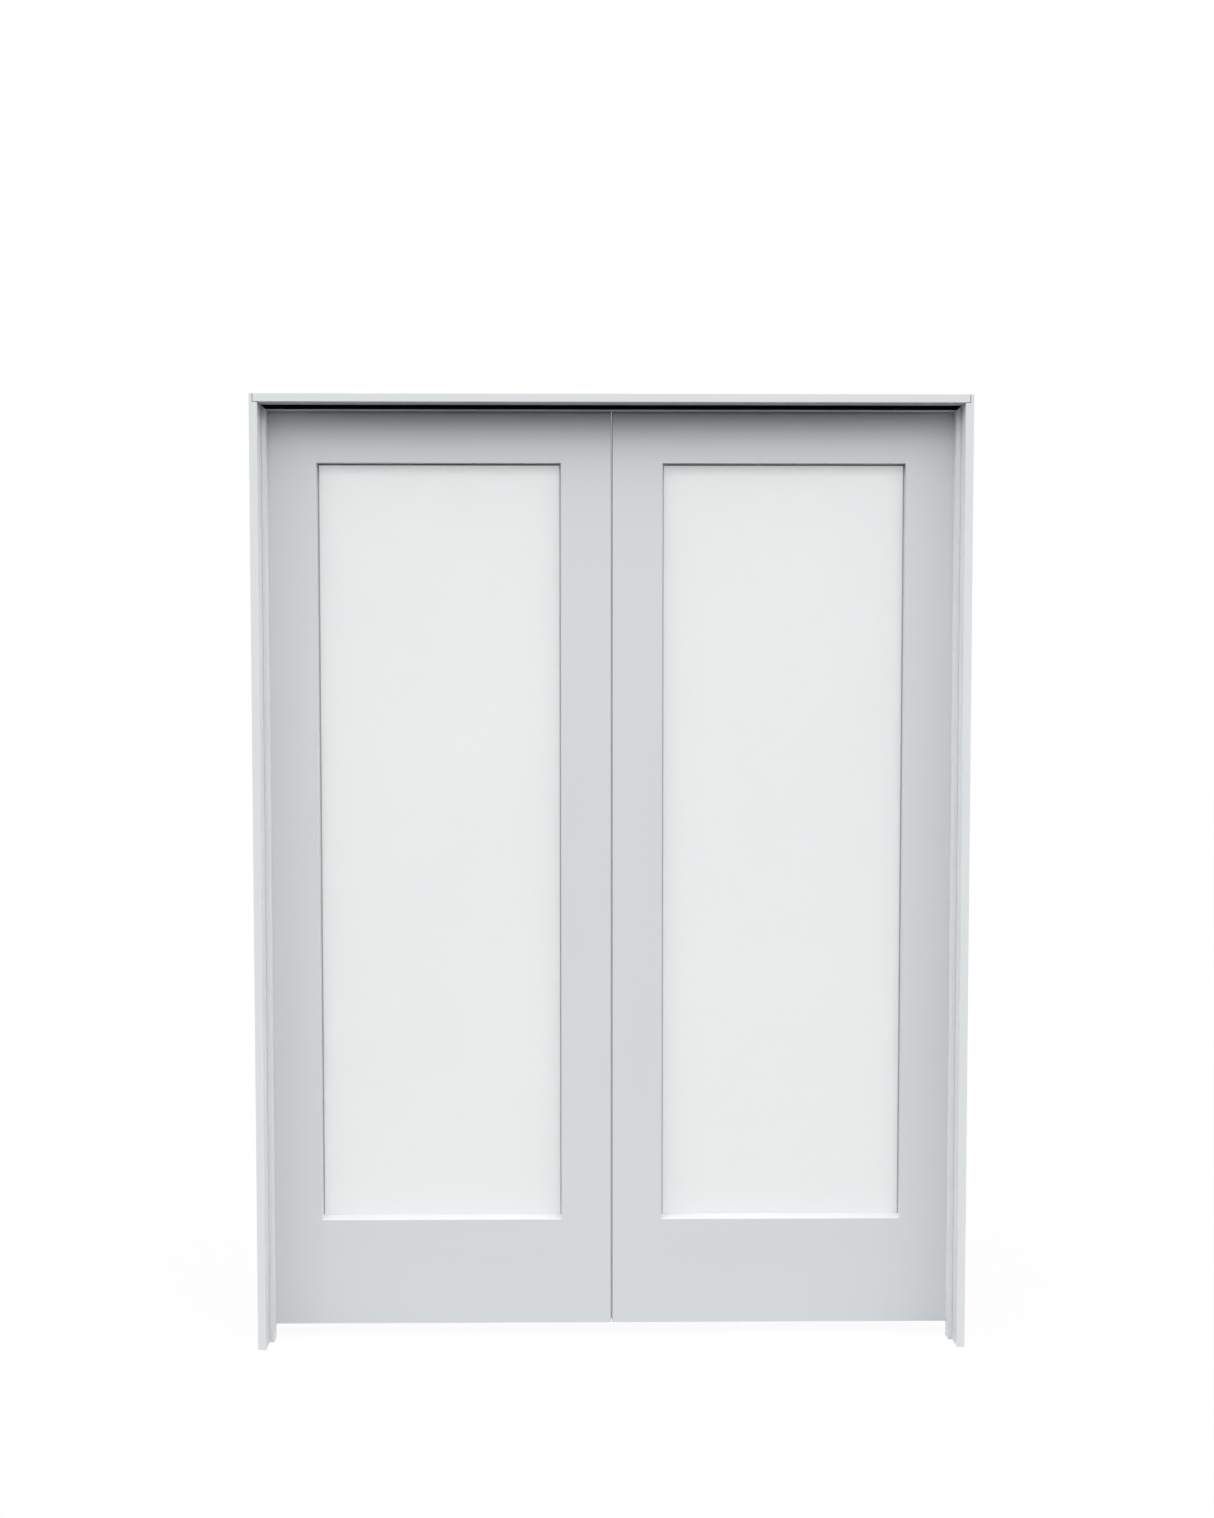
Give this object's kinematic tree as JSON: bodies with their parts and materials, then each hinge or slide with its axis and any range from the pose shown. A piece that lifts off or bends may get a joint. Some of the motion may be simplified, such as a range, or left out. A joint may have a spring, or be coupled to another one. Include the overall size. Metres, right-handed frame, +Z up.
{
  "type": "french doors",
  "caption": "Glazed french doors hung in a jamb set with mitred stops, butt hinges and ball catches; the leaves swing away from the stops.",
  "frame": {"origin": "on the floor, at the middle of the doorway's width and of the jamb depth", "axes": "+X across the doorway to the right seen from the stop side, +Y through the wall to the side the leaves swing to, +Z up"},
  "size_m": [1.5546, 0.1379, 2.0825],
  "materials": {
    "painted_wood": "satin white primer",
    "satin_glass": "acid-etched satin",
    "satin_nickel": "satin nickel",
    "screw_steel": "zinc plated",
    "spring_steel": "bright wire",
    "ball_chrome": "polished",
    "dowel_wood": "raw beech",
    "foam_tape": "closed-cell foam",
    "block_rubber": "matte"
  },
  "bodies": {
    "frame": {"head_jamb": "painted_wood", "head_stop": "painted_wood", "corner_screws": "screw_steel", "strike_screws": "satin_nickel", "left_jamb": "painted_wood", "left_stop": "painted_wood", "left_hinge_pins": "satin_nickel", "left_jamb_hinge_screws": "satin_nickel", "left_catch_strike": "satin_nickel", "left_top_hinge_frame_leaf": "satin_nickel", "left_middle_hinge_frame_leaf": "satin_nickel", "left_bottom_hinge_frame_leaf": "satin_nickel", "right_jamb": "painted_wood", "right_stop": "painted_wood", "right_hinge_pins": "satin_nickel", "right_jamb_hinge_screws": "satin_nickel", "right_catch_strike": "satin_nickel", "right_top_hinge_frame_leaf": "satin_nickel", "right_middle_hinge_frame_leaf": "satin_nickel", "right_bottom_hinge_frame_leaf": "satin_nickel"},
    "left_leaf": {"left_hinge_stile": "painted_wood", "left_meeting_stile": "painted_wood", "left_top_rail": "painted_wood", "left_bottom_rail": "painted_wood", "left_rail_dowels": "dowel_wood", "left_glass": "satin_glass", "left_glazing_tape": "foam_tape", "left_setting_blocks": "block_rubber", "left_top_bead": "painted_wood", "left_bottom_bead": "painted_wood", "left_hinge_side_bead": "painted_wood", "left_meeting_side_bead": "painted_wood", "left_door_hinge_screws": "satin_nickel", "left_catch_body": "satin_nickel", "left_catch_spring": "spring_steel", "left_catch_screws": "satin_nickel", "left_top_hinge_door_leaf": "satin_nickel", "left_middle_hinge_door_leaf": "satin_nickel", "left_bottom_hinge_door_leaf": "satin_nickel"},
    "right_leaf": {"right_hinge_stile": "painted_wood", "right_meeting_stile": "painted_wood", "right_top_rail": "painted_wood", "right_bottom_rail": "painted_wood", "right_rail_dowels": "dowel_wood", "right_glass": "satin_glass", "right_glazing_tape": "foam_tape", "right_setting_blocks": "block_rubber", "right_top_bead": "painted_wood", "right_bottom_bead": "painted_wood", "right_hinge_side_bead": "painted_wood", "right_meeting_side_bead": "painted_wood", "right_door_hinge_screws": "satin_nickel", "right_catch_body": "satin_nickel", "right_catch_spring": "spring_steel", "right_catch_screws": "satin_nickel", "right_top_hinge_door_leaf": "satin_nickel", "right_middle_hinge_door_leaf": "satin_nickel", "right_bottom_hinge_door_leaf": "satin_nickel"},
    "left_ball": {"left_catch_ball": "ball_chrome"},
    "right_ball": {"right_catch_ball": "ball_chrome"}
  },
  "joints": [
    {"name": "left_leaf_swing", "type": "hinge", "parent": "frame", "child": "left_leaf", "pos_m": [-0.7583, 0.0739, 0], "axis": [0, 0, 1], "range_deg": [0, 180]},
    {"name": "left_ball_press", "type": "slide", "parent": "left_leaf", "child": "left_ball", "axis": [0, 0, -1], "range_m": [0, 0.0042], "stiffness_N_per_m": 1500, "springref_m": -0.004, "deforming": ["left_catch_spring"]},
    {"name": "right_leaf_swing", "type": "hinge", "parent": "frame", "child": "right_leaf", "pos_m": [0.7583, 0.0739, 0], "axis": [0, 0, -1], "range_deg": [0, 180]},
    {"name": "right_ball_press", "type": "slide", "parent": "right_leaf", "child": "right_ball", "axis": [0, 0, -1], "range_m": [0, 0.0042], "stiffness_N_per_m": 1500, "springref_m": -0.004, "deforming": ["right_catch_spring"]}
  ]
}
